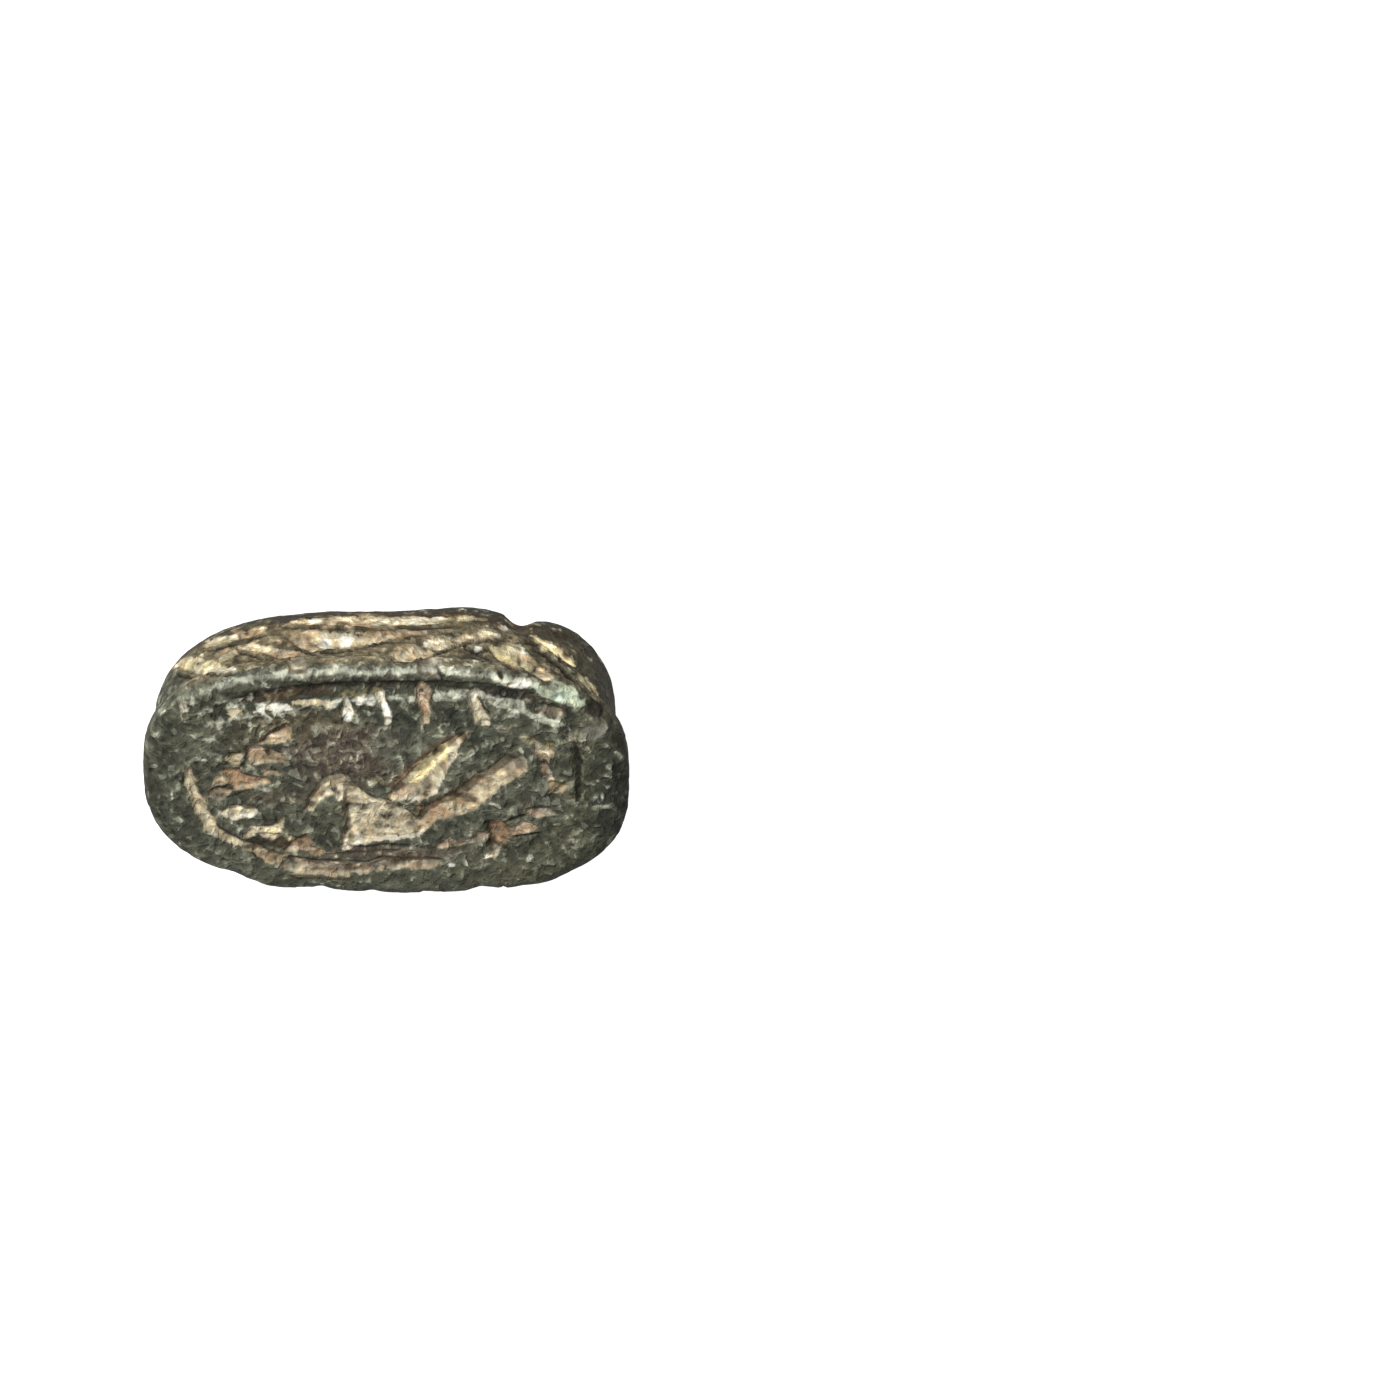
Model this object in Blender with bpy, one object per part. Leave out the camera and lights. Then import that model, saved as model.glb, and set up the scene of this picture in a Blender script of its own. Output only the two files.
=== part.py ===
"""Scarab amulet of dark stone, lying on its back with the engraved seal face up.

Metres, +Z up and out of the seal face, head toward -X, origin under the flat spot on the back.
Depth is measured down from the seal face. The near side is the long side toward -Y.
"""
import math

import bmesh
import bpy
from mathutils import Matrix, Vector

# Overall sizes of the stone.
LENGTH = 0.018
WIDTH = 0.01125
HEIGHT = 0.0062

# Squareness of the four quarters of the seal base outline; 2 is an ellipse.
BASE_SQUARE = {"rear near": 2.82, "rear far": 2.54, "head near": 2.9, "head far": 2.68}

# Seal base: rounded rim and a low edge band.
RIM_ROUND = 0.00045
BASE_THICK = 0.00105
BASE_EDGE = 0.0002

# Body above the base: set in from the base edge, then domed to the back.
BODY_INSET = 0.00029
HEAD_INSET = 0.00054
SIDE_DEPTH = 0.00243
BACK_CROWN = 0.0001
BACK_ROUND = 2.2
HEAD_ROUND = 4.0
HEAD_SHAPING = (0.0, 0.88)
HEAD_DROP = 0.00013
HEAD_BLEND = 0.0006
NECK_DIP = 0.0007
NECK_REACH = 0.0011

# Worn places of the base rim on the far side, negative where it is fuller: place and reach in
# shares of the half length, depth in shares of the half width.
RIM_WEAR = (
    (0.65, 0.05, 0.020),
    (0.48, 0.08, -0.028),
    (0.27, 0.05, 0.028),
    (0.07, 0.04, 0.014),
    (-0.39, 0.06, 0.038),
    (-0.66, 0.08, -0.024),
)

# Lengthwise hole for the string.
BORE_DIAMETER = 0.0016
BORE_DEPTH = 0.0031

# Mesh fineness.
SEGMENTS = 104
RIM_RINGS = 3
BACK_RINGS = 9

# Sunk carving of the seal face.
CARVE_TOP = 0.0001
BORDER_WIDTH = 0.0006
FIGURE_DEPTH = 0.00036
FIGURE_FLARE = 0.97
STROKE_DEPTH = 0.00024
STROKE_FLOOR = 0.45
STROKE_SIDES = 8

# Border line round the field: middle, half sizes, squareness of its quarters and how far it is
# turned, then its two ends.
BORDER_MIDDLE = (0.0, -0.00039)
BORDER_HALF = (0.0073, 0.00444)
BORDER_SQUARE = {"rear near": 2.98, "rear far": 2.51, "head near": 2.89, "head far": 2.14}
BORDER_TURN = math.radians(3.6)
BORDER_START = math.radians(108)
BORDER_END = math.radians(-197)
BORDER_STEPS = 40

# Sunk falcon, wings raised behind it: head, body, raised wing, wing and tail.
FALCON = (
    (
        (0.340, 0.228), (0.305, 0.067), (0.280, -0.014), (0.238, -0.073), (0.180, -0.093),
        (0.156, -0.027), (0.162, 0.124), (0.191, 0.125), (0.231, 0.055), (0.265, 0.101),
        (0.311, 0.210),
    ),
    (
        (0.177, 0.000), (0.140, -0.010), (0.103, 0.051), (0.058, 0.094), (0.009, 0.128),
        (-0.056, 0.188), (-0.134, 0.293), (-0.188, 0.264), (-0.158, 0.390), (-0.112, 0.455),
        (0.066, 0.488), (0.191, 0.573), (0.168, 0.348), (0.174, 0.151),
    ),
    (
        (-0.007, 0.154), (-0.020, 0.056), (-0.083, -0.079), (-0.150, -0.232), (-0.216, -0.340),
        (-0.283, -0.439), (-0.332, -0.502), (-0.286, -0.307), (-0.248, -0.138), (-0.198, 0.050),
        (-0.135, 0.123), (-0.041, 0.109),
    ),
    (
        (-0.117, 0.311), (-0.134, 0.257), (-0.214, 0.129), (-0.293, 0.029), (-0.371, -0.098),
        (-0.450, -0.189), (-0.503, -0.288), (-0.545, -0.307), (-0.577, -0.255), (-0.569, -0.175),
        (-0.523, -0.077), (-0.474, -0.022), (-0.424, 0.078), (-0.358, 0.196), (-0.296, 0.242),
        (-0.234, 0.245), (-0.171, 0.354),
    ),
)

# Short strokes of the field: both ends in shares of the half length and half width, then the
# width in shares of the length.
STROKES = (
    (0.160, -0.817, 0.173, -0.572, 0.017),
    (0.015, -0.813, -0.011, -0.579, 0.017),
    (-0.163, -0.860, -0.167, -0.549, 0.018),
    (-0.354, -0.808, -0.414, -0.557, 0.018),
    (0.530, -0.323, 0.372, -0.504, 0.023),
    (0.572, -0.287, 0.486, -0.263, 0.035),
    (0.507, -0.219, 0.413, -0.226, 0.011),
    (0.540, -0.200, 0.653, -0.072, 0.013),
    (0.650, -0.063, 0.588, -0.039, 0.032),
    (0.601, -0.007, 0.473, -0.056, 0.016),
    (0.739, 0.126, 0.635, 0.034, 0.018),
    (0.692, 0.249, 0.535, 0.226, 0.024),
    (0.571, 0.424, 0.429, 0.365, 0.016),
    (0.534, 0.459, 0.410, 0.481, 0.013),
    (0.398, 0.544, 0.258, 0.593, 0.021),
    (0.390, 0.517, 0.314, 0.433, 0.016),
    (-0.561, -0.444, -0.700, -0.444, 0.016),
    (-0.659, -0.434, -0.659, -0.311, 0.024),
    (-0.647, -0.328, -0.676, -0.064, 0.015),
    (-0.589, 0.219, -0.692, 0.216, 0.019),
    (-0.522, 0.396, -0.630, 0.285, 0.020),
    (-0.440, 0.300, -0.452, 0.578, 0.031),
    (-0.203, 0.532, -0.415, 0.426, 0.019),
)

# Grooves between the legs: place in shares of the half length, depth in shares of the height.
LEG_GROOVE_WIDTH = 0.00054
FORE_LEG = ((-0.56, 0.49), (-0.63, 0.435), (-0.72, 0.37), (-0.76, 0.26), (-0.83, 0.13))
FORE_EDGE = ((-0.42, 0.32), (-0.47, 0.24), (-0.54, 0.17), (-0.60, 0.13), (-0.66, 0.10))
MIDDLE_LEG = ((-0.01, 0.15), (-0.12, 0.245), (-0.225, 0.325), (-0.33, 0.415), (-0.425, 0.47))
HIND_LEG = ((0.63, 0.38), (0.48, 0.27), (0.39, 0.16))
HIND_FOOT = ((0.855, 0.40), (0.77, 0.27), (0.62, 0.16))
WING_EDGE = ((0.74, 0.53), (0.59, 0.46), (0.35, 0.43), (0.10, 0.43), (-0.18, 0.45), (-0.34, 0.50))

# Lines over the back: the neck behind the head, the wing case front and the line between the cases.
BACK_LINE_WIDTH = 0.0003
NECK_WIDTH = 0.0006
NECK_LINE = -0.53
CASE_LINE = -0.12
LINE_STEPS = 9


def ease(value, start, end):
    """Goes smoothly from 0 at the start to 1 at the end."""
    share = min(max((value - start) / (end - start), 0.0), 1.0)
    return share * share * (3.0 - 2.0 * share)


def squareness(x, y, squares):
    """The squareness of the outline quarter that holds a direction."""
    return squares[("rear " if x > 0.0 else "head ") + ("near" if y < 0.0 else "far")]


def half_sizes(x, inset, end_inset):
    """Half length and half width of an outline that is set in; the head end has its own inset."""
    return LENGTH / 2 - (end_inset if x < 0.0 else inset), WIDTH / 2 - inset


def oval_point(angle, half_x, half_y, squares):
    """A point at an angle on a squared oval."""
    along = math.cos(angle)
    across = math.sin(angle)
    power = 2.0 / squareness(along, across, squares)
    x = half_x * math.copysign(abs(along) ** power, along)
    y = half_y * math.copysign(abs(across) ** power, across)
    return x, y


def outline_point(angle, share, inset, end_inset):
    """A point of the outline at an angle, drawn in toward the middle by a share."""
    half_x, half_y = half_sizes(math.cos(angle), inset, end_inset)
    return oval_point(angle, half_x * share, half_y * share, BASE_SQUARE)


def rim_wear(x, y):
    """How much of the far rim is worn away at a place along the stone."""
    if y <= 0.0:
        return 0.0
    place = x / (LENGTH / 2)
    worn = sum(depth * math.exp(-((place - at) / reach) ** 2) for at, reach, depth in RIM_WEAR)
    return worn * WIDTH / 2


def back_round(x):
    """How boxy the dome is; the head is boxier than the wing cases."""
    return BACK_ROUND + (HEAD_ROUND - BACK_ROUND) * ease(-x / (LENGTH / 2), *HEAD_SHAPING)


def back_rise(x):
    """Height of the dome above the side at a place along the stone."""
    neck = NECK_LINE * LENGTH / 2
    drop = (HEAD_DROP + BACK_CROWN) * ease(-x, -neck - HEAD_BLEND, -neck + HEAD_BLEND)
    drop += NECK_DIP * math.exp(-((x - neck) / NECK_REACH) ** 2)
    return HEIGHT + BACK_CROWN - drop - SIDE_DEPTH


def dome_depth(x, share):
    """Depth of the dome where the outline is drawn in by a share."""
    power = back_round(x)
    return min(SIDE_DEPTH + back_rise(x) * (1.0 - share ** power) ** (1.0 / power), HEIGHT)


def side_rings():
    """Insets and depths of the rings from the edge of the seal face down to the dome."""
    rings = []
    for step in range(RIM_RINGS + 1):
        turn = math.pi / 2 * step / RIM_RINGS
        inset = RIM_ROUND * (1.0 - math.sin(turn))
        rings.append((inset, inset, RIM_ROUND * (1.0 - math.cos(turn))))
    rings.append((0.0, 0.0, BASE_THICK - BASE_EDGE))
    rings.append((BODY_INSET / 2, BODY_INSET / 2, BASE_THICK))
    rings.append((BODY_INSET, HEAD_INSET, BASE_THICK + BASE_EDGE))
    rings.append((BODY_INSET, HEAD_INSET, (BASE_THICK + SIDE_DEPTH) / 2))
    return rings


def dome_shares():
    """Shares of the dome rings, from the side in to the edge of the flat spot on the back."""
    rise = HEIGHT + BACK_CROWN - SIDE_DEPTH
    flat = (1.0 - (1.0 - BACK_CROWN / rise) ** BACK_ROUND) ** (1.0 / BACK_ROUND)
    last = math.acos(flat)
    return [math.cos(last * step / BACK_RINGS) for step in range(BACK_RINGS + 1)]


def form_point(ring, angle):
    """A point of the uncarved stone: ring number from the seal face down, and angle round it."""
    sides = side_rings()
    if ring < len(sides):
        inset, end_inset, depth = sides[ring]
        x, y = outline_point(angle, 1.0, inset, end_inset)
        if depth < BASE_THICK:
            y -= rim_wear(x, y)
    else:
        share = dome_shares()[ring - len(sides)]
        x, y = outline_point(angle, share, BODY_INSET, HEAD_INSET)
        depth = dome_depth(x, share)
    return Vector((x, y, HEIGHT - depth))


def surface_point(x, depth, side):
    """A point of the side or back, from its place along the stone and its depth."""
    inset = 0.0
    end_inset = 0.0
    share = 1.0
    if depth > BASE_THICK:
        inset = BODY_INSET
        end_inset = HEAD_INSET
    if depth > SIDE_DEPTH:
        power = back_round(x)
        climb = min((depth - SIDE_DEPTH) / back_rise(x), 1.0)
        share = (1.0 - climb ** power) ** (1.0 / power)
    half_x, half_y = half_sizes(x, inset, end_inset)
    square = squareness(x, side, BASE_SQUARE)
    along = min(abs(x) / (half_x * max(share, 0.01)), 1.0)
    return Vector((x, side * half_y * share * (1.0 - along ** square) ** (1.0 / square), HEIGHT - depth))


def new_collection(name):
    """An empty collection in the scene."""
    collection = bpy.data.collections.new(name)
    bpy.context.scene.collection.children.link(collection)
    return collection


def link_mesh(name, mesh, collection):
    """An object with this mesh in this collection."""
    thing = bpy.data.objects.new(name, mesh)
    collection.objects.link(thing)
    return thing


def stone_body(collection):
    """The uncarved stone, formed from a ball."""
    rings = len(side_rings()) + BACK_RINGS + 1
    shape = bmesh.new()
    bmesh.ops.create_uvsphere(shape, u_segments=SEGMENTS, v_segments=rings + 1, radius=1.0)
    for vertex in shape.verts:
        flat = math.hypot(vertex.co.x, vertex.co.y)
        ring = round(math.atan2(flat, vertex.co.z) / math.pi * (rings + 1)) - 1
        angle = math.atan2(vertex.co.y, vertex.co.x)
        if ring < 0:
            vertex.co = Vector((0.0, 0.0, HEIGHT))
        elif ring >= rings:
            vertex.co = Vector((0.0, 0.0, 0.0))
        else:
            vertex.co = form_point(ring, angle)
    mesh = bpy.data.meshes.new("scarab")
    shape.to_mesh(mesh)
    shape.free()
    return link_mesh("scarab", mesh, collection)


def face_cutter(name, outline, depth, floor, collection):
    """A cutter with a flat floor below the seal face; the floor is a share of the outline."""
    count = len(outline)
    middle = sum((Vector(point) for point in outline), Vector((0.0, 0.0))) / count
    shape = bmesh.new()
    bmesh.ops.create_cone(
        shape, cap_ends=True, segments=count, radius1=1.0, radius2=1.0, depth=2.0)
    upper = sorted((v for v in shape.verts if v.co.z > 0.0), key=lambda v: math.atan2(v.co.y, v.co.x))
    lower = sorted((v for v in shape.verts if v.co.z < 0.0), key=lambda v: math.atan2(v.co.y, v.co.x))
    flare = 1.0 + (1.0 - floor) * CARVE_TOP / depth
    for place, (high, low) in enumerate(zip(upper, lower)):
        offset = Vector(outline[place]) - middle
        high.co = (*(middle + offset * flare), HEIGHT + CARVE_TOP)
        low.co = (*(middle + offset * floor), HEIGHT - depth)
    bmesh.ops.recalc_face_normals(shape, faces=shape.faces)
    mesh = bpy.data.meshes.new(name)
    shape.to_mesh(mesh)
    shape.free()
    return link_mesh(name, mesh, collection)


def face_outline(shares):
    """Points on the seal face from shares, run counterclockwise."""
    points = [(x * LENGTH / 2, y * WIDTH / 2) for x, y in shares]
    area = sum(a[0] * b[1] - b[0] * a[1] for a, b in zip(points, points[1:] + points[:1]))
    return points if area > 0.0 else points[::-1]


def stroke_outline(stroke):
    """A leaf shape from one end of a stroke to the other."""
    start = Vector((stroke[0] * LENGTH / 2, stroke[1] * WIDTH / 2))
    end = Vector((stroke[2] * LENGTH / 2, stroke[3] * WIDTH / 2))
    along = end - start
    across = Vector((-along.y, along.x)).normalized() * stroke[4] * LENGTH / 2
    points = []
    for step in range(STROKE_SIDES):
        angle = 2.0 * math.pi * (step + 0.5) / STROKE_SIDES
        length = (1.0 - math.cos(angle) / math.cos(math.pi / STROKE_SIDES)) / 2
        points.append(tuple(start + along * length - across * math.sin(angle)))
    return points


def groove_cutter(name, points, radii, collection):
    """A round cutter along a line of points, with a radius at each point."""
    curve = bpy.data.curves.new(name, "CURVE")
    curve.dimensions = "3D"
    curve.bevel_depth = 1.0
    curve.bevel_resolution = 1
    curve.use_fill_caps = True
    spline = curve.splines.new("POLY")
    spline.points.add(len(points) - 1)
    for point, place, radius in zip(spline.points, points, radii):
        point.co = (*place, 1.0)
        point.radius = radius
    line = bpy.data.objects.new(name, curve)
    collection.objects.link(line)
    bpy.context.view_layer.update()
    evaluated = line.evaluated_get(bpy.context.evaluated_depsgraph_get())
    mesh = bpy.data.meshes.new_from_object(evaluated)
    shape = bmesh.new()
    shape.from_mesh(mesh)
    bmesh.ops.remove_doubles(shape, verts=shape.verts, dist=min(radii) / 50)
    bmesh.ops.recalc_face_normals(shape, faces=shape.faces)
    shape.to_mesh(mesh)
    shape.free()
    bpy.data.objects.remove(line)
    return link_mesh(name, mesh, collection)


def tapered(count, radius):
    """Radii that run out toward both ends of a line."""
    radii = []
    for step in range(count):
        from_end = min(step, count - 1 - step) / (count - 1)
        radii.append(radius * (0.35 + 0.65 * ease(from_end, 0.0, 0.3)))
    return radii


def border_line():
    """Points of the border line, from its end at the foot of the field round the rear to the head end."""
    points = []
    for step in range(BORDER_STEPS + 1):
        angle = BORDER_START + (BORDER_END - BORDER_START) * step / BORDER_STEPS
        spot = Vector(oval_point(angle, *BORDER_HALF, BORDER_SQUARE))
        spot.rotate(Matrix.Rotation(BORDER_TURN, 2))
        points.append(Vector((*(spot + Vector(BORDER_MIDDLE)), HEIGHT)))
    return points


def leg_cutter(name, line, side, width, collection):
    """A groove along the side of the stone."""
    points = [surface_point(x * LENGTH / 2, share * HEIGHT, side) for x, share in line]
    return groove_cutter(name, points, tapered(len(points), width / 2), collection)


def back_point(x, y):
    """A point of the dome over a place in plan."""
    half_x, half_y = half_sizes(x, BODY_INSET, HEAD_INSET)
    square = squareness(x, y, BASE_SQUARE)
    share = ((abs(x) / half_x) ** square + (abs(y) / half_y) ** square) ** (1.0 / square)
    return Vector((x, y, HEIGHT - dome_depth(x, min(share, 1.0))))


def cross_line(place, lean):
    """Points over the back from the near side to the far side, the middle set toward the head."""
    points = []
    for step in range(LINE_STEPS):
        turn = math.pi * (step + 0.5) / LINE_STEPS
        x = (place - lean * math.sin(turn)) * LENGTH / 2
        points.append(back_point(x, surface_point(x, SIDE_DEPTH, 1.0).y * -math.cos(turn)))
    return points


def middle_line(start, end):
    """Points along the middle of the back."""
    steps = [step / (LINE_STEPS - 1) for step in range(LINE_STEPS)]
    return [back_point((start + (end - start) * step) * LENGTH / 2, 0.0) for step in steps]


def stone_colour(part):
    """Dark grey green stone."""
    material = bpy.data.materials.new("stone")
    material.use_nodes = True
    shader = material.node_tree.nodes["Principled BSDF"]
    shader.inputs["Base Color"].default_value = (0.12, 0.115, 0.085, 1.0)
    shader.inputs["Roughness"].default_value = 0.55
    part.data.materials.append(material)


def cut(part, cutter):
    """Takes a cutter away from a part."""
    change = part.modifiers.new(cutter.name, "BOOLEAN")
    change.operation = "DIFFERENCE"
    change.solver = "EXACT"
    change.object = cutter
    cutter.display_type = "WIRE"
    cutter.hide_render = True


def build():
    """Builds the scarab."""
    for thing in list(bpy.data.objects):
        bpy.data.objects.remove(thing)
    parts = new_collection("scarab amulet")
    cutters = new_collection("cutters")
    stone = stone_body(parts)
    stone_colour(stone)

    border = border_line()
    cut(stone, groove_cutter("border", border, tapered(len(border), BORDER_WIDTH / 2), cutters))

    for number, shares in enumerate(FALCON):
        name = "figure " + str(number)
        outline = face_outline(shares)
        cut(stone, face_cutter(name, outline, FIGURE_DEPTH, FIGURE_FLARE, cutters))
    for number, stroke in enumerate(STROKES):
        name = "stroke " + str(number)
        outline = stroke_outline(stroke)
        cut(stone, face_cutter(name, outline, STROKE_DEPTH, STROKE_FLOOR, cutters))

    for side in (-1.0, 1.0):
        mark = " near" if side < 0.0 else " far"
        for name, line in (
            ("fore leg", FORE_LEG),
            ("fore edge", FORE_EDGE),
            ("middle leg", MIDDLE_LEG),
            ("hind leg", HIND_LEG),
            ("hind foot", HIND_FOOT),
            ("wing edge", WING_EDGE),
        ):
            cut(stone, leg_cutter(name + mark, line, side, LEG_GROOVE_WIDTH, cutters))

    neck = cross_line(NECK_LINE, 0.03)
    cut(stone, groove_cutter("neck", neck, tapered(len(neck), NECK_WIDTH / 2), cutters))
    case = cross_line(CASE_LINE, 0.06)[LINE_STEPS // 4:]
    cut(stone, groove_cutter("case front", case, tapered(len(case), BACK_LINE_WIDTH / 2), cutters))
    seam = middle_line(CASE_LINE - 0.06, 0.9)
    cut(stone, groove_cutter("case seam", seam, tapered(len(seam), BACK_LINE_WIDTH / 2), cutters))

    bore = bmesh.new()
    bmesh.ops.create_cone(
        bore, cap_ends=True, segments=24, radius1=BORE_DIAMETER / 2, radius2=BORE_DIAMETER / 2,
        depth=LENGTH * 1.2)
    for vertex in bore.verts:
        vertex.co = Vector((vertex.co.z, vertex.co.x, vertex.co.y + HEIGHT - BORE_DEPTH))
    mesh = bpy.data.meshes.new("string hole")
    bore.to_mesh(mesh)
    bore.free()
    cut(stone, link_mesh("string hole", mesh, cutters))


build()
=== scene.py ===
"""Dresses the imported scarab: a worn dark stone amulet lying on its back, seal face up."""
import math

import bmesh
import bpy
import numpy as np
from mathutils import Matrix, Vector


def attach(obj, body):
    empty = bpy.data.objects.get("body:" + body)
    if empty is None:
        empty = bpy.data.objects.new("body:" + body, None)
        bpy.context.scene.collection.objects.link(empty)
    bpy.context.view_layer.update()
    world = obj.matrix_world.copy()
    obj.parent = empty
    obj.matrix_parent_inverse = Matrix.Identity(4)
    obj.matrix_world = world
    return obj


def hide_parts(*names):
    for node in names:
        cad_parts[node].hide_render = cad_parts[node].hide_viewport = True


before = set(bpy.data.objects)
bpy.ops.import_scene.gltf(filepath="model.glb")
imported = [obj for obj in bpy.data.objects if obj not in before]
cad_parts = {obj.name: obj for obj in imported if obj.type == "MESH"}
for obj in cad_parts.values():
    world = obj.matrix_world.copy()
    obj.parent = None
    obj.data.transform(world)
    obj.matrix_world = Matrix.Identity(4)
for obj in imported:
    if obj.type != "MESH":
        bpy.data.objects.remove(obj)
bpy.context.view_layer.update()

# Sizes of the stone in millimetres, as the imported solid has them.
LENGTH = 18.0
WIDTH = 11.25
HEIGHT = 6.2
BASE_SQUARE = {"rear near": 2.82, "rear far": 2.54, "head near": 2.9, "head far": 2.68}
RIM_ROUND = 0.45
BASE_THICK = 1.05
BASE_EDGE = 0.2
BODY_INSET = 0.29
HEAD_INSET = 0.54
SIDE_DEPTH = 2.43
BACK_CROWN = 0.1
BACK_ROUND = 2.2
HEAD_ROUND = 4.0
HEAD_SHAPING = (0.0, 0.88)
HEAD_DROP = 0.13
HEAD_BLEND = 0.6
NECK_DIP = 0.7
NECK_REACH = 1.1
BORE_DIAMETER = 1.6
BORE_DEPTH = 3.1
NECK_LINE = -0.53
CASE_LINE = -0.12

MM = 1000
HUNDREDTHS = 100
THOUSANDTHS = 1000

# Worn and fuller places of the far rim: place and reach in shares of the half length, depth in
# shares of the half width.
RIM_WEAR = (
    (0.65, 0.05, 0.020),
    (0.48, 0.08, -0.028),
    (0.27, 0.05, 0.028),
    (0.07, 0.04, 0.014),
    (-0.39, 0.06, 0.038),
    (-0.66, 0.08, -0.024),
)

# Mesh fineness: cuts of the block along each way, then levels of halving.
BLOCK_CUTS = (26, 14, 7)
BLOCK_LEVELS = 3
SHOULDER = math.radians(45)

# Shares of the block's rows where the rounded rim ends, where the base's edge begins and how far
# it reaches, and where the dome begins; then the steps of the rim and of the edge.
RIM_ROWS = 0.11
EDGE_ROWS = 0.155
EDGE_REACH = 0.065
BODY_ROWS = 0.40
RIM_STEPS = 8
EDGE_STEPS = 4

# How far in the worn margins of the seal face begin to fall away.
MARGIN = 1.5

# Border line round the seal field.
BORDER_MIDDLE = (0.0, -0.39)
BORDER_HALF = (7.3, 4.44)
BORDER_SQUARE = {"rear near": 2.98, "rear far": 2.51, "head near": 2.89, "head far": 2.14}
BORDER_TURN = math.radians(3.6)
BORDER_START = math.radians(108)
BORDER_END = math.radians(-197)
BORDER_POINTS = 160


def rows(table):
    """The rows of a table of words and whole numbers; a row goes on over indented lines."""
    return [[word if word[0].isalpha() else int(word) for word in row.split()]
            for row in table.strip().replace("\n  ", " ").splitlines()]


def srgb(*values):
    """A colour from its screen values, 0 to 255."""
    shares = [value / 255 for value in values]
    return tuple(v / 12.92 if v <= 0.04045 else ((v + 0.055) / 1.055) ** 2.4 for v in shares)


def colours(table):
    """Named colours from the rows of a table."""
    return {name: srgb(*values) for name, *values in rows(table)}


# Earths and chalky marks that lie on the stone: name and screen values. Some are brighter than
# white, because the shader darkens what is laid on.
EARTHS = colours("""
cream 226 213 180
white 266 262 244
butter 298 278 218
yellow 204 194 152
tan 181 158 126
pink 204 175 146
orange 173 146 117
brown 106 86 63
umber 74 62 45
dark 30 28 21
green 214 228 202
olive 124 115 82
mauve 148 138 121
grey 174 174 160
""")

# Tints of the stone itself.
STONES = colours("""
plain 98 99 83
plum 106 95 82
olive 92 92 72
deep 66 70 58
dim 56 59 50
warm 124 113 87
dull 82 79 63
peat 60 55 42
bark 72 62 47
light 116 117 100
ash 146 144 134
""")

# The line of earth from the rear of the field round its foot: place along and across the stone,
# and half width, in hundredths of a millimetre.
FOOT = rows("""
728 -90 12
727 -10 18
708 80 20
680 160 18
642 225 22
595 272 20
545 293 13
500 314 15
450 346 18
400 380 28
330 408 40
240 412 38
160 414 36
80 414 36
10 388 34
-70 380 28
-140 378 26
-212 380 16
""")

# The raised lip inside the border line on the near side, from the rear to the head: place along
# and across the stone, and half width, in hundredths of a millimetre.
LIP = rows("""
625 -270 4
590 -305 7
555 -326 11
500 -338 7
450 -345 10
400 -352 12
345 -360 9
300 -384 13
220 -395 15
170 -402 13
120 -420 8
-36 -436 15
-120 -438 10
-270 -450 20
-344 -448 14
-410 -428 24
-490 -395 20
-530 -366 10
-595 -332 9
-660 -312 10
-705 -240 8
""")

# Flecks, chalk for rubbed ridges, pale spots and the painted highlights, and dust of the stone.
FLECKS = srgb(148, 150, 134)
CHALK = srgb(172, 174, 157)
DUST = srgb(75, 60, 43)

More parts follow.
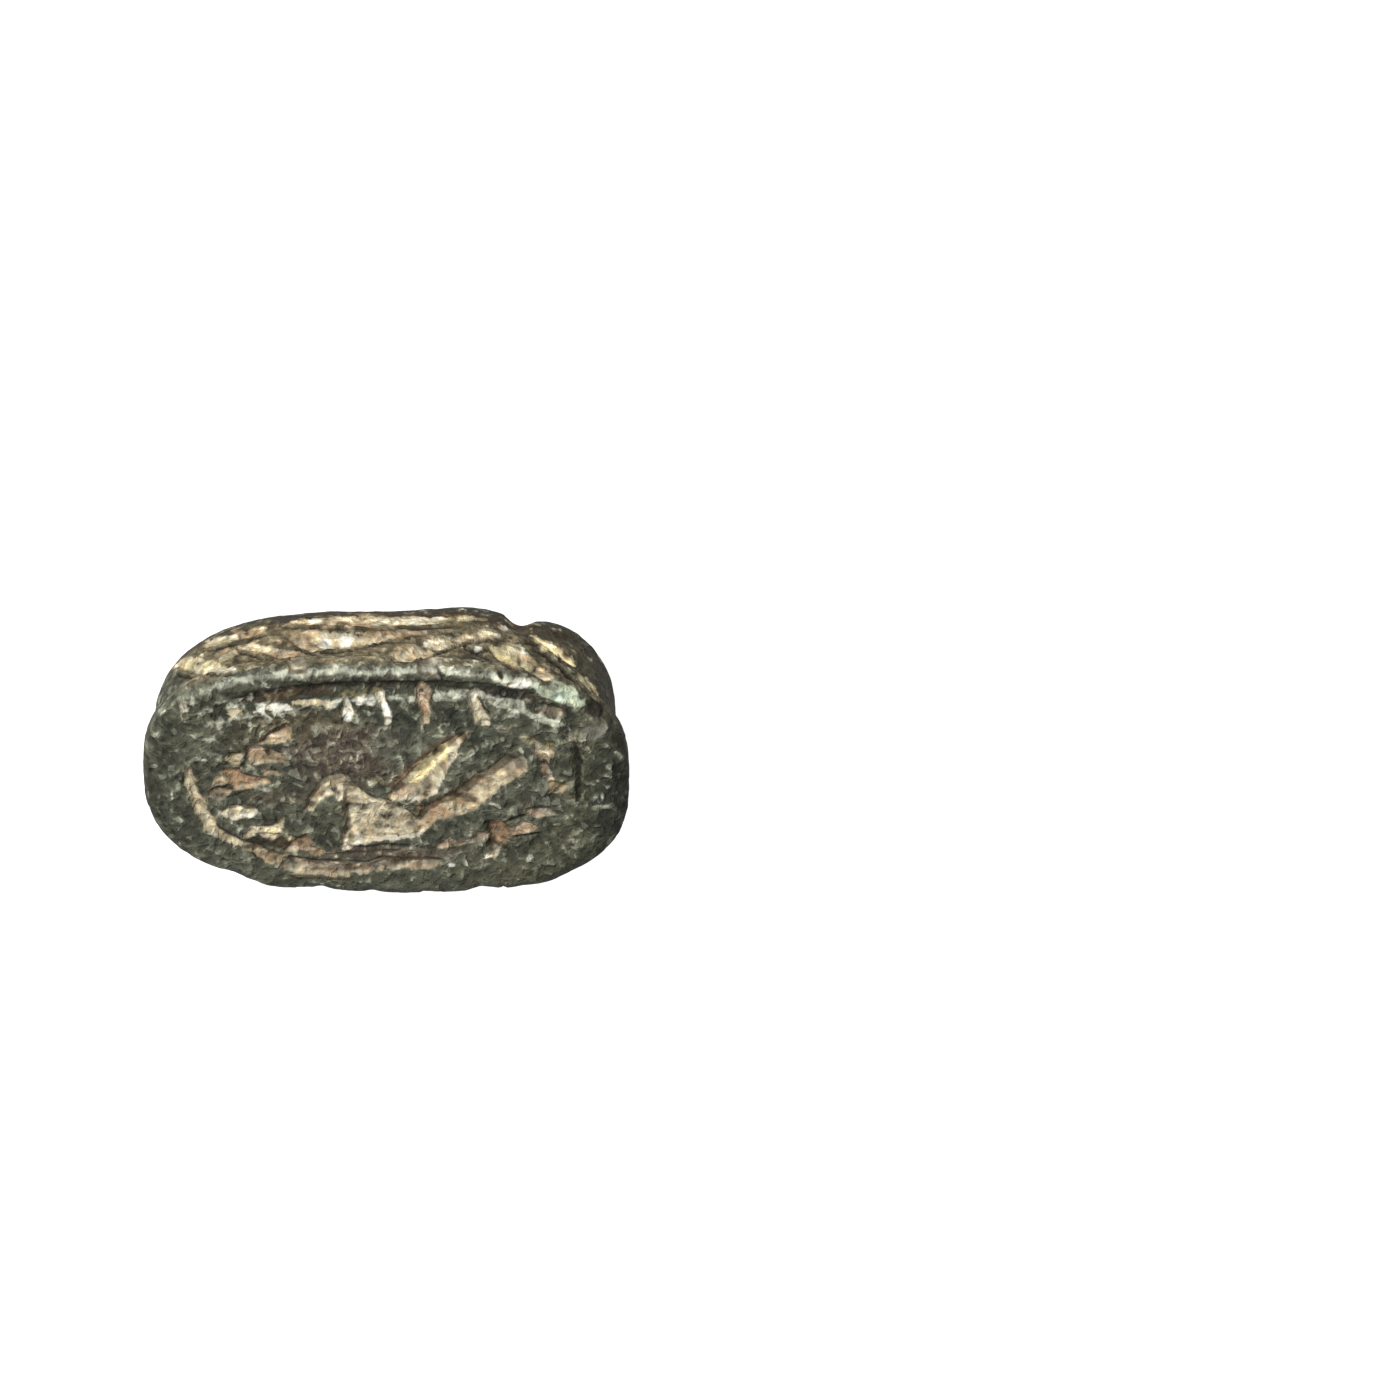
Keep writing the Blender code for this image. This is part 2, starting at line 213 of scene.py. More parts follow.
# Short sunk strokes and fillings of the field: two earths, then the depth and the outline's places
# along and across the stone in turn, in hundredths of a millimetre.
FIELD_FORMS = rows("""
white cream 26 148 -428 128 -420 122 -380 126 -324 150 -322 160 -355 156 -405
white cream 24 34 -458 10 -460 -6 -415 -16 -370 -20 -320 -2 -316 10 -380 20 -415
pink cream 26 -135 -500 -118 -465 -128 -420 -138 -390 -144 -315 -164 -318 -160 -400 -166 -470
cream white 24 -308 -452 -332 -462 -352 -430 -368 -380 -388 -322 -364 -310 -338 -335 -322 -390
tan orange 20 468 -205 430 -248 373 -295 346 -288 352 -230 402 -212
pink tan 20 508 -192 458 -190 442 -142 422 -120 492 -102 510 -135
tan olive 14 430 -182 378 -148 372 -115 418 -116 436 -145
olive cream 10 576 -155 530 -158 526 -100 548 -80 580 -100
orange tan 18 602 -76 542 -70 524 -48 442 -34 428 -14 496 9 570 28 572 2 598 -34
tan olive 10 455 -72 400 -70 398 -56 452 -56
cream pink 12 628 -32 610 -34 598 -10 615 12 634 4
mauve tan 14 672 66 642 26 600 20 570 24 602 68 616 80
cream grey 22 620 142 587 117 562 110 484 122 502 158 562 174 598 156
cream yellow 20 506 212 424 204 405 190 402 158 382 164 388 202 395 224 420 234 480 236
cream yellow 16 482 242 407 246 342 274 350 292 450 268
orange brown 14 362 288 298 240 290 266 294 298 240 328 256 350 305 320 385 328
tan cream 16 530 320 490 314 445 345 380 350 384 386 445 392 495 352
cream white 12 508 220 490 236 512 270 532 266
olive cream 12 -502 -258 -550 -250 -552 -228 -505 -240
yellow tan 6 -560 -234 -598 -212 -602 -186 -566 -198
olive brown 5 -595 -240 -622 -234 -624 -195 -612 -160 -600 -185
pink tan 7 -566 -195 -598 -185 -602 -120 -616 -55 -584 -62 -576 -130
tan olive 12 -605 -40 -640 -36 -672 -24 -650 10 -605 28
mauve pink 18 -512 108 -560 95 -600 94 -632 125 -610 132 -550 140 -528 118
pink cream 18 -465 218 -495 166 -530 172 -562 186 -550 206 -510 224 -480 232
brown orange 20 -375 172 -420 158 -458 195 -462 230 -435 276 -410 325 -385 290 -380 230
cream grey 10 -370 328 -402 322 -408 344 -368 346
tan pink 16 -182 296 -210 274 -230 248 -252 264 -262 286 -230 296
mauve tan 14 -260 286 -320 240 -335 218 -376 220 -380 245 -320 272
grey white 5 -412 -292 -424 -268 -450 -276 -462 -312 -448 -294 -428 -284
""")

# Dark lines and light curls of the field. Most dark and umber lines are painted shade along the
# steep walls of cuts and painted shadow beside the forms, and the white and cream lines along the
# near lip are painted highlights. Colour, then half width, depth and the line's places along and
# across the stone in turn, in hundredths of a millimetre.
FIELD_LINES = rows("""
dark 7 10 512 -195 510 -140 534 -84 572 -66
dark 6 8 622 16 602 22 586 -2 570 18
dark 7 8 600 74 540 42 490 26
umber 6 6 598 106 530 98 485 106
dark 8 10 490 250 470 258
umber 8 8 390 220 360 252 320 266
dark 8 10 -342 -443 -366 -405 -390 -362
umber 8 8 -166 -460 -174 -435 -168 -405
dark 7 8 -430 185 -470 152 -520 136
dark 8 10 -470 242 -515 234 -570 220
umber 7 8 60 42 -10 84 -80 98 -190 98
dark 8 8 162 310 80 304 0 290 -100 294
umber 8 6 220 342 120 330 10 322 -60 312
brown 20 0 -10 -5 -75 -62 -135 -145 -195 -208 -260 -266
orange 10 0 -30 -10 -80 -60 -130 -128 -180 -180
brown 22 0 -100 125 -190 75 -260 20 -330 -30
umber 13 0 480 -392 400 -412 300 -440 200 -445 170 -440
cream 22 0 724 -60 722 10 700 85 674 160 636 220
cream 12 0 580 -338 550 -350 515 -354
white 15 0 480 -352 445 -372 400 -380 340 -372
cream 13 0 340 -395 260 -404 190 -400
cream 8 0 586 -142 584 -114 562 -98 536 -106
cream 7 0 624 -36 598 -34 592 -8 614 8
dark 16 5 -700 -240 -712 -120 -715 -20 -705 60
mauve 8 0 -655 -310 -680 -280 -700 -240
olive 8 0 166 -430 140 -452 100 -440 60 -460 10 -466
olive 7 2 66 -50 36 -30 10 -12 -6 -30
""")

# Outlines of the sunk falcon: its two earths, then places along and across in turn, in thousandths
# of the half length and half width.
FALCON_DEPTH = 0.34
FALCON = rows("""
cream tan 340 228 305 67 280 -14 238 -73 180 -93 156 -27 162 124 191 125 231 55 265 101 311 210
cream tan 177 0 140 -10 103 51 58 94 9 128 -56 188 -134 293 -188 264 -158 390 -112 455 66 488 191
  573 168 348 174 151
cream tan -7 154 -20 56 -83 -79 -150 -232 -216 -340 -283 -439 -332 -502 -286 -307 -248 -138 -198
  50 -135 123 -41 109
tan cream -117 311 -134 257 -214 129 -293 29 -371 -98 -450 -189 -503 -288 -545 -307 -577 -255
  -569 -175 -523 -77 -474 -22 -424 78 -358 196 -296 242 -234 245 -171 354
""")

# Slanting cuts and chips of the long side: two earths, then the depth of the cut and the outline's
# places along the stone and below the seal face in turn, in hundredths of a millimetre.
SIDE_FORMS = rows("""
tan cream 15 360 330 179 302 11 304 -120 308 -220 334 -140 354 -70 370 -10 356 45 364 90 384 135
  360 190 366 240 350 310 342
cream white 15 60 316 -158 312 -250 334 -190 360 -10 356
yellow olive 13 -190 340 -305 340 -360 360 -260 376
tan cream 20 375 234 330 190 275 154 210 170 170 252 300 256
cream white 22 290 210 200 166 90 186 40 220 110 254 240 250
tan cream 22 150 190 60 198 0 222 -80 240 -185 266 -50 272 90 260
cream yellow 14 678 290 620 276 545 262 545 290 610 316 670 334
tan mauve 12 545 266 460 272 450 310 480 330 545 294
cream tan 15 550 216 460 172 430 190 520 244 560 250
tan cream 15 460 172 400 130 345 116 325 140 370 166 430 192
yellow cream 12 795 290 740 200 680 130 610 86 575 100 640 180 700 240 760 300
cream white 12 660 112 610 78 560 50 545 62 570 100 620 132
cream tan 20 -28 72 -36 132 -100 172 -160 212 -230 236 -310 262 -320 244 -240 205 -190 170 -140
  114 -95 68
cream white 12 -330 272 -350 296 -412 302 -414 282 -360 258
tan white 10 -382 314 -435 342 -470 334 -435 314
mauve tan 8 -100 256 -145 254 -150 276 -105 280
yellow cream 22 -372 202 -415 222 -460 224 -502 190 -500 120 -465 112 -420 146
tan yellow 22 -490 195 -545 172 -592 128 -614 62 -590 42 -540 72 -495 102
white cream 12 -535 316 -600 304 -640 286 -680 258 -682 240 -640 244 -600 258 -555 286
cream orange 10 -705 210 -740 212 -772 196 -784 164 -762 150 -730 164 -705 180
mauve cream 6 362 70 340 20 292 18 288 74 325 86
mauve grey 5 -128 10 -130 62 -160 100 -202 98 -204 30 -184 6
""")

# Dark deep lines of the long side, their dark paint standing for the shade on the steep walls of
# the cuts: colour, then half width, depth and the line's places along the stone and below the seal
# face in turn, in hundredths of a millimetre.
SIDE_LINES = rows("""
dark 10 18 330 166 270 140 200 148 130 160 60 184 0 206 -90 226
umber 12 12 295 292 180 280 10 284 -160 290 -300 314
dark 7 10 295 295 240 290
dark 9 12 680 266 600 250 520 250 460 256
dark 11 14 590 206 520 182 460 140 400 102 350 86
umber 16 10 520 140 460 110 420 90
dark 7 10 790 240 720 150 660 90 580 44 530 40
dark 10 14 -60 52 -130 80 -170 130 -230 178 -310 220 -370 245 -440 266
dark 14 16 -290 195 -360 150 -410 112 -460 76 -505 48
dark 16 14 -490 275 -550 242 -610 206 -670 166 -720 124 -760 80
dark 6 6 -188 42 -212 6
dark 10 8 -420 42 -440 14
umber 8 6 -650 290 -710 240 -750 180
umber 8 6 440 320 380 300 330 290
""")

# Patches of earth or of tinted stone on the seal face, then on the near side: colour and turn in
# degrees, then in hundredths the place, half sizes, amount and how deep the patch is sunk. Solid
# patches have no dark gaps.
# On the face, the dim patch over the head end is painted shade where the light falls off, and the
# dark patch at the head corner of the near rim is a painted shadow.
FACE_PATCHES = rows("""
plum 0 145 -160 210 150 90 0
deep 0 204 220 36 80 40 5
deep 0 -75 -340 75 40 80 4
deep -12 400 -330 90 30 90 5
deep 0 70 -360 50 25 90 5
deep 0 -250 -330 60 50 70 3
olive 0 -760 20 90 340 80 0
dim 0 -865 90 100 360 95 0
deep 35 -720 390 140 100 60 0
plum 0 0 332 260 30 90 0
light 0 -60 -190 100 75 90 0
deep 0 -360 -220 90 60 50 0
cream 5 548 290 28 10 90 0
cream 0 398 358 22 13 70 0
olive 20 -500 360 260 120 50 0
plum 0 390 60 110 40 50 0
warm 10 370 -300 200 80 50 0
green -22 -640 -450 110 26 100 0
white 5 -500 -498 45 14 80 0
ash 10 -772 -280 36 26 80 0
white 40 730 -373 34 26 65 0
tan 50 -265 -235 50 20 80 0
pink 40 -75 20 55 30 60 0
butter 50 -178 -130 80 36 95 0
butter 50 -120 -42 60 26 95 0
olive-earth 50 -180 -143 15 11 90 0
olive-earth 30 -148 -84 20 13 90 0
dark -50 -772 -385 48 30 85 4
white 0 76 -415 32 22 95 0
mauve 50 -480 -120 45 32 75 0
orange 20 305 290 40 30 70 0
cream-solid 20 205 0 45 24 90 0
butter-solid 55 -160 -85 48 20 90 0
orange 10 -420 225 28 55 100 0
deep 0 820 30 70 320 35 0
orange -28 -180 122 62 28 80 0
light -30 610 430 130 60 50 0
cream-solid -15 -592 -190 34 24 100 0
dark 5 470 285 50 22 70 6
umber 0 405 295 32 26 90 5
white 0 -236 387 17 11 100 0
green 0 -770 80 62 11 45 0
""")
# On the near side, the two white spots at 225 and 155 along are painted highlights on the lit
# facets.
SIDE_PATCHES = rows("""
cream 0 581 185 36 26 90 -8
white 0 -342 192 13 10 100 -4
white 0 -333 90 10 16 90 0
white 5 272 346 26 12 90 0
dull 0 -800 220 320 160 90 0
dull 0 -320 120 90 60 80 0
dull 0 680 360 240 40 80 0
white 0 225 205 24 24 100 0
white 0 155 215 26 22 100 0
cream 0 598 120 16 14 80 0
butter-solid 23 -615 272 84 21 100 0
tan-solid 38 -528 90 50 22 90 0
yellow-solid 20 -745 186 40 17 100 0
cream 0 -590 67 20 18 80 0
tan 12 95 400 60 16 70 0
brown -8 -75 392 42 13 70 0
brown 10 -210 386 70 15 70 0
brown -14 270 388 55 15 70 0
brown -4 10 430 90 16 50 0
""")

# The pale line painted along the near rim as a highlight: places from the head to the rear, depths,
# and amounts.
RIM_HIGHLIGHT = (
    (-7.6, -6.8, -5.4, -4.4, -4.25, -4.1, -3.3, -2.3, -1.9, -1.2, 0.5, 3.0, 5.4, 6.6, 7.4),
    (0.20, 0.18, 0.16, 0.18, 0.18, 0.18, 0.18, 0.19, 0.22, 0.22, 0.13, 0.12, 0.09, 0.12, 0.14),
    (0.2, 0.4, 0.55, 0.8, 0.1, 0.6, 0.75, 0.75, 0.4, 0.6, 0.7, 0.8, 1.0, 0.75, 0.1),
)

# Grooves across the back: place, lean and reach in shares, then as in the line between the wing
# cases the half width, depth, power of the bowl, width of its brown core and the core's amount.
BACK_GROOVES = (
    (NECK_LINE, 0.01, 0.96, (0.60, 0.22, 1.5, 0.18, 0.3)),
    (CASE_LINE, 0.06, 0.50, (0.15, 0.12, 0.7, 0.045, 0.3)),
)
CASE_GROOVE = (0.15, 0.14, 0.7, 0.05, 0.5)

# The way toward the light on the seal face and on the side, along which the cut forms are painted
# with shade and highlight, and how far that painted shade reaches.
FACE_LIGHT = np.array((0.36, -0.93))
SIDE_LIGHT = np.array((0.50, -0.86))
SHADE_REACH = 0.13

# How far the outlines of the carving are shaken by coarse and by fine bumps, and how far below
# its neighbours a point of a full hollow lies.
COARSE_SHIFT = 0.05
FINE_SHIFT = 0.03
HOLLOW_DEPTH = 0.012

# Sides of the drill and how far round it the wall is darkened.
BORE_SIDES = 40
BORE_MARGIN = 0.01

# The picture: its width and the place of the seal face's middle in its points, points to a
# millimetre, then the camera's distance in metres, elevation, roll, sensor and the offset of its
# aim across the stone in millimetres.
PICTURE_WIDTH = 1400
PICTURE_SPOT = (385.92, 785.19)
PICTURE_SCALE = 26.983
CAMERA_DISTANCE = 0.30
CAMERA_ELEVATION = math.radians(48.57)
CAMERA_ROLL = math.radians(0.9)
CAMERA_SENSOR = 36.0
AIM_OFFSET = -0.072

# Lights: azimuth, elevation, distance, size, power and colour; then the light of the surround.
LIGHTS = {
    "near_window": (21.0, 29.0, 0.35, 0.05, 1.36, (1.0, 0.98, 0.94)),
    "high_window": (50.0, 64.0, 0.40, 0.16, 0.38, (0.96, 0.98, 1.0)),
    "far_window": (180.0, 35.0, 0.40, 0.15, 0.15, (0.97, 0.98, 1.0)),
}
SURROUND = 0.13
WHITE = (1.0, 1.0, 1.0, 1.0)


def ease(value, start, end):
    """Goes smoothly from 0 at the start to 1 at the end."""
    share = np.clip((value - start) / (end - start), 0.0, 1.0)
    return share * share * (3.0 - 2.0 * share)


def bowl(reach, power=1.0):
    """The hollow of a cut: 1 in its middle and 0 at its edge, where the reach is 1."""
    return np.clip(1 - reach ** 2, 0.0, 1.0) ** power


def tips(place, reach):
    """0 at both ends of a line and 1 beyond a reach from them."""
    return ease(np.minimum(place, 1 - place), 0.0, reach)


def squareness(x, y, squares):
    """The squareness of the outline quarter of each place."""
    rear = np.where(y < 0.0, squares["rear near"], squares["rear far"])
    head = np.where(y < 0.0, squares["head near"], squares["head far"])
    return np.where(x > 0.0, rear, head)


def back_round(x):
    """How boxy the dome is along the stone."""
    return BACK_ROUND + (HEAD_ROUND - BACK_ROUND) * ease(-x / (LENGTH / 2), *HEAD_SHAPING)


def back_rise(x):
    """Height of the dome above the side along the stone."""
    neck = NECK_LINE * LENGTH / 2
    drop = (HEAD_DROP + BACK_CROWN) * ease(-x, -neck - HEAD_BLEND, -neck + HEAD_BLEND)
    drop = drop + NECK_DIP * np.exp(-((x - neck) / NECK_REACH) ** 2)
    return HEIGHT + BACK_CROWN - drop - SIDE_DEPTH


def dome_depth(x, share):
    """Depth of the dome where the outline is drawn in by a share."""
    power = back_round(x)
    rise = back_rise(x) * (1.0 - np.clip(share, 0.0, 1.0) ** power) ** (1.0 / power)
    return np.minimum(SIDE_DEPTH + rise, HEIGHT)


def rim_wear(x, y):
    """How much of the far rim is worn away along the stone."""
    place = x / (LENGTH / 2)
    worn = sum(depth * np.exp(-((place - at) / reach) ** 2) for at, reach, depth in RIM_WEAR)
    return np.where(y > 0.0, worn * WIDTH / 2, 0.0)


def border_route():
    """Points of the border line, from the foot of the field round the rear to the head."""
    angle = np.linspace(BORDER_START, BORDER_END, BORDER_POINTS)
    along = np.cos(angle)
    across = np.sin(angle)
    power = 2.0 / squareness(along, across, BORDER_SQUARE)
    x = BORDER_HALF[0] * np.sign(along) * np.abs(along) ** power
    y = BORDER_HALF[1] * np.sign(across) * np.abs(across) ** power
    cos, sin = math.cos(BORDER_TURN), math.sin(BORDER_TURN)
    return np.stack([x, y], -1) @ np.array(((cos, sin), (-sin, cos))) + BORDER_MIDDLE


def body_sizes(x):
    """Half length and half width of the body on the side of a place."""
    return LENGTH / 2 - (HEAD_INSET if x < 0.0 else BODY_INSET), WIDTH / 2 - BODY_INSET


def body_edge(x):
    """How far the body reaches to the far side at a place along the stone."""
    half_x, half_y = body_sizes(x)
    square = float(squareness(x, 1.0, BASE_SQUARE))
    return half_y * (1.0 - min(abs(x) / half_x, 1.0) ** square) ** (1.0 / square)


def back_point(x, y):
    """A point of the dome over a place in plan."""
    half_x, half_y = body_sizes(x)
    square = float(squareness(x, y, BASE_SQUARE))
    share = ((abs(x) / half_x) ** square + (abs(y) / half_y) ** square) ** (1.0 / square)
    return (x, y, HEIGHT - float(dome_depth(x, min(share, 1.0))))


def noise(points, size, seed):
    """Smooth random values from -1 to 1 over space, with bumps of this size."""
    random = np.random.default_rng(seed)
    table = random.uniform(-1.0, 1.0, (32, 32, 32))
    spot = points / size + random.uniform(0.0, 32.0, 3)
    corner = np.floor(spot).astype(int)
    share = spot - corner
    share = share * share * (3.0 - 2.0 * share)
    total = np.zeros(len(points))
    for step in np.ndindex(2, 2, 2):
        weight = np.abs(1 - np.array(step) - share)
        place = (corner + step) % 32
        total += weight[:, 0] * weight[:, 1] * weight[:, 2] * table[tuple(place.T)]
    return total


def rough(points, size, seed, octaves=3):
    """Random values with finer bumps laid over coarse ones."""
    total = np.zeros(len(points))
    for octave in range(octaves):
        total += noise(points, size / 2 ** octave, seed + octave) / 2 ** octave
    return total / 1.5


def near_line(points, line):
    """Distance to a line of points, the place along it from 0 to 1, and the offset to its right."""
    line = np.asarray(line, float)
    steps = np.linalg.norm(line[1:] - line[:-1], axis=1)
    starts = np.concatenate([[0.0], np.cumsum(steps)])
    distance = np.full(len(points), np.inf)
    place, right = np.zeros((2, len(points)))
    for number, step in enumerate(steps):
        start = line[number]
        way = line[number + 1] - start
        share = np.clip((points - start) @ way / (step ** 2), 0.0, 1.0)
        off = points - start - share[:, None] * way
        gap = np.linalg.norm(off, axis=1)
        closer = gap < distance
        distance[closer] = gap[closer]
        place[closer] = (starts[number] + share[closer] * step) / starts[-1]
        side = off[:, 0] * way[1] - off[:, 1] * way[0]
        right[closer] = np.where(side[closer] < 0.0, -1.0, 1.0) * gap[closer]
    return distance, place, right


def wide_line(spots, route):
    """Distance to a line of changing width, its half width there, the place along it from 0 to 1,
    and the offset to its right."""
    route = np.reshape(route, (-1, 3)) / HUNDREDTHS
    distance, place, right = near_line(spots, route[:, :2])
    steps = np.linalg.norm(np.diff(route[:, :2], axis=0), axis=1)
    places = np.concatenate([[0.0], np.cumsum(steps)]) / steps.sum()
    return distance, np.interp(place, places, route[:, 2]), place, right


def inside_outline(spots, outline):
    """Distance inside a closed outline; it is negative outside."""
    closed = np.concatenate([outline, outline[:1]])
    distance = near_line(spots, closed)[0]
    inside = np.zeros(len(spots), bool)
    for start, end in zip(closed[:-1], closed[1:]):
        crosses = (start[1] > spots[:, 1]) != (end[1] > spots[:, 1])
        rise = end[1] - start[1] or 1e-9
        reach = start[0] + (spots[:, 1] - start[1]) * (end[0] - start[0]) / rise
        inside ^= crosses & (spots[:, 0] < reach)
    return np.where(inside, distance, -distance)


def side_profile():
    """The rows from the edge of the seal face down to the shoulder of the dome: share of the
    block, inset, how far it is on the body, depth and turn."""
    profile = []
    for step in range(RIM_STEPS + 1):
        turn = math.pi / 2 * step / RIM_STEPS
        profile.append((RIM_ROWS * step / RIM_STEPS, RIM_ROUND * (1 - math.sin(turn)), 0.0,
                        RIM_ROUND * (1 - math.cos(turn)), 0.0))
    for step in range(EDGE_STEPS + 1):
        share = step / EDGE_STEPS
        profile.append((EDGE_ROWS + EDGE_REACH * share, 0.0, float(ease(share, 0.0, 1.0)),
                        BASE_THICK - BASE_EDGE + 2 * BASE_EDGE * share, 0.0))
    profile.append((BODY_ROWS, 0.0, 1.0, SIDE_DEPTH, 0.0))
    profile.append((1.0, 0.0, 1.0, SIDE_DEPTH, SHOULDER))
    return np.array(profile)


def face_depth(inset, near):
    """Depth of the seal face at an inset from the rim: crisp on the near side, worn elsewhere."""
    crisp = RIM_ROUND * (1 - np.sqrt(1 - np.clip(1 - inset / RIM_ROUND, 0.0, 1.0) ** 2))
    worn = RIM_ROUND * (1 - np.sqrt(1 - np.clip(1 - inset / MARGIN, 0.0, 1.0) ** 4))
    return crisp * near + worn * (1 - near)


def form_points(block):
    """Places of the uncarved stone for the points of a block that runs from -1 to 1 each way."""
    u, v, w = block.T
    share = np.maximum(np.abs(u), np.abs(v))
    safe = np.maximum(share, 1e-9)
    along = u / safe
    across = v / safe
    square = squareness(along, across, BASE_SQUARE)
    reach = (np.abs(along) ** square + np.abs(across) ** square) ** (1.0 / square)
    along = along / reach
    across = across / reach
    shares, *sizes = side_profile().T
    row = (1.0 - w) / 2
    inset, body, depth, turn = (np.interp(row, shares, values) for values in sizes)
    top = w > 0.9999
    bottom = w < -0.9999
    drawn = np.where(top, share, np.cos(turn) * np.where(bottom, share, 1.0))
    end = inset + body * np.where(u < 0.0, HEAD_INSET, BODY_INSET)
    x = (LENGTH / 2 - end) * drawn * along
    y = (WIDTH / 2 - inset - body * BODY_INSET) * drawn * across
    from_rim = np.where(top, RIM_ROUND + (1 - share) * (WIDTH / 2 - RIM_ROUND), inset)
    rounded = row < RIM_ROWS
    depth = np.where(rounded, face_depth(from_rim, ease(-across, 0.3, 0.75)), depth)
    domed = (row > BODY_ROWS) & ~top
    depth = np.where(domed, dome_depth(x, drawn), depth)
    y = y - np.where(depth < BASE_THICK, rim_wear(x, y), 0.0) * np.where(top, share ** 6, 1.0)
    return np.stack([x, y, HEIGHT - depth], -1)


def select_only(thing):
    """Makes one object the selected and active one."""
    bpy.ops.object.select_all(action="DESELECT")
    thing.select_set(True)
    bpy.context.view_layer.objects.active = thing


def stone_block():
    """A cube cut into small even squares."""
    bpy.ops.object.select_all(action="DESELECT")
    bpy.ops.mesh.primitive_cube_add(size=2.0, location=(0.0, 0.0, 0.0))
    block = bpy.context.active_object
    block.name = "scarab_stone"
    bpy.ops.object.mode_set(mode="EDIT")
    bpy.ops.mesh.select_mode(type="EDGE")
    for way, cuts in enumerate(BLOCK_CUTS):
        shape = bmesh.from_edit_mesh(block.data)
        for edge in shape.edges:
            span = edge.verts[0].co - edge.verts[1].co
            edge.select_set(abs(span[way]) > 0.9 * span.length)
        bmesh.update_edit_mesh(block.data)
        bpy.ops.mesh.subdivide(number_cuts=cuts)
        bpy.ops.mesh.select_all(action="DESELECT")
    bpy.ops.object.mode_set(mode="OBJECT")
    fine = block.modifiers.new("fine", "SUBSURF")
    fine.subdivision_type = "SIMPLE"
    fine.levels = BLOCK_LEVELS
    fine.render_levels = BLOCK_LEVELS
    bpy.ops.object.modifier_apply(modifier="fine")
    return block


def read(items, name, width, kind=float):
    """A row of values for each point, edge or kept attribute of a mesh."""
    values = np.empty(len(items) * width, kind)
    items.foreach_get(name, values)
    return values.reshape(-1, width)


def place_points(mesh, points):
    """Moves a mesh's points, given in millimetres, and gives their outward directions."""
    mesh.vertices.foreach_set("co", (points / MM).ravel())
    mesh.update()
    return read(mesh.vertex_normals, "vector", 3)


def neighbours(values, ends):
    """The middle value of each point's neighbours, from the two ends of each edge."""
    total = np.bincount(ends[:, 0], values[ends[:, 1]], len(values))
    total += np.bincount(ends[:, 1], values[ends[:, 0]], len(values))
    return total / np.bincount(ends.ravel(), minlength=len(values))


def hollows(points, normals, ends):
    """How far each point lies below its neighbours, from -1 on ridges to 1 in cuts."""
    middle = np.stack([neighbours(values, ends) for values in points.T], -1)
    values = np.clip(((middle - points) * normals).sum(axis=1) / HOLLOW_DEPTH, -1.0, 1.0)
    for _ in range(2):
        values = 0.5 * values + 0.5 * neighbours(values, ends)
    return values


class Carving:
    """Depths cut into the stone, the stone's tint and the earth laid on it, with painted shade and
    highlights among them, and the pale painted highlights of the near rim and lip.
    """

    def __init__(self, points):
        count = len(points)
        self.points = points
        self.cut, self.amount, self.painted_highlight = np.zeros((3, count))
        self.stone = np.tile(STONES["plain"], (count, 1))
        self.earth = np.tile(EARTHS["tan"], (count, 1))
        drawn = points * (0.5, 1.0, 1.0)
        self.blots = rough(drawn, 0.42, 101)
        self.gaps = rough(drawn, 0.24, 105, 2)
        self.flecks = rough(drawn, 0.26, 109, 2)
        self.streaks = rough(points * (0.2, 1.0, 1.0), 0.20, 113, 2)

    def chart(self):
        """Places along the stone and depths below the seal face."""
        return np.stack([self.points[:, 0], HEIGHT - self.points[:, 2]], -1)

    def sink(self, depth):
        """Cuts to a depth where that is deeper than what is there."""
        self.cut = np.where(depth > 0.0, np.maximum(self.cut, depth), self.cut + depth)

    def paint(self, mask, earth):
        """Lays an earth over a mask."""
        mask = np.clip(mask, 0.0, 1.0)
        self.amount = self.amount * (1 - mask) + mask
        share = (mask / np.maximum(self.amount, 0.001))[:, None]
        self.earth = self.earth * (1 - share) + np.array(EARTHS[earth]) * share
        self.painted_highlight = self.painted_highlight * (1 - mask)

    def dapple(self, mask, values, low, high, amount, earth):
        """Lays an earth over a mask where some values run from low to high."""
        self.paint(mask * ease(values, low, high) * amount, earth)

    def fill(self, mask, earth, second, whole):
        """Fills a mask with two earths in blots, with light flecks and dark gaps."""
        self.paint(mask, earth)
        self.dapple(mask, self.blots, -0.10, 0.30, 0.85, second)
        self.dapple(mask, self.flecks, 0.26, 0.55, 0.4, "white")
        self.dapple(mask, -self.gaps, whole, whole + 0.35, 0.75, "umber")

    def lay_highlight(self, mask):
        """Lays a pale painted highlight over a mask, where it isn't pale yet."""
        self.painted_highlight = np.maximum(self.painted_highlight, mask)

    def tint(self, mask, stone):
        """Tints the stone itself over a mask."""
        share = np.clip(mask, 0.0, 1.0)[:, None]
        self.stone = self.stone * (1 - share) + np.array(STONES[stone]) * share


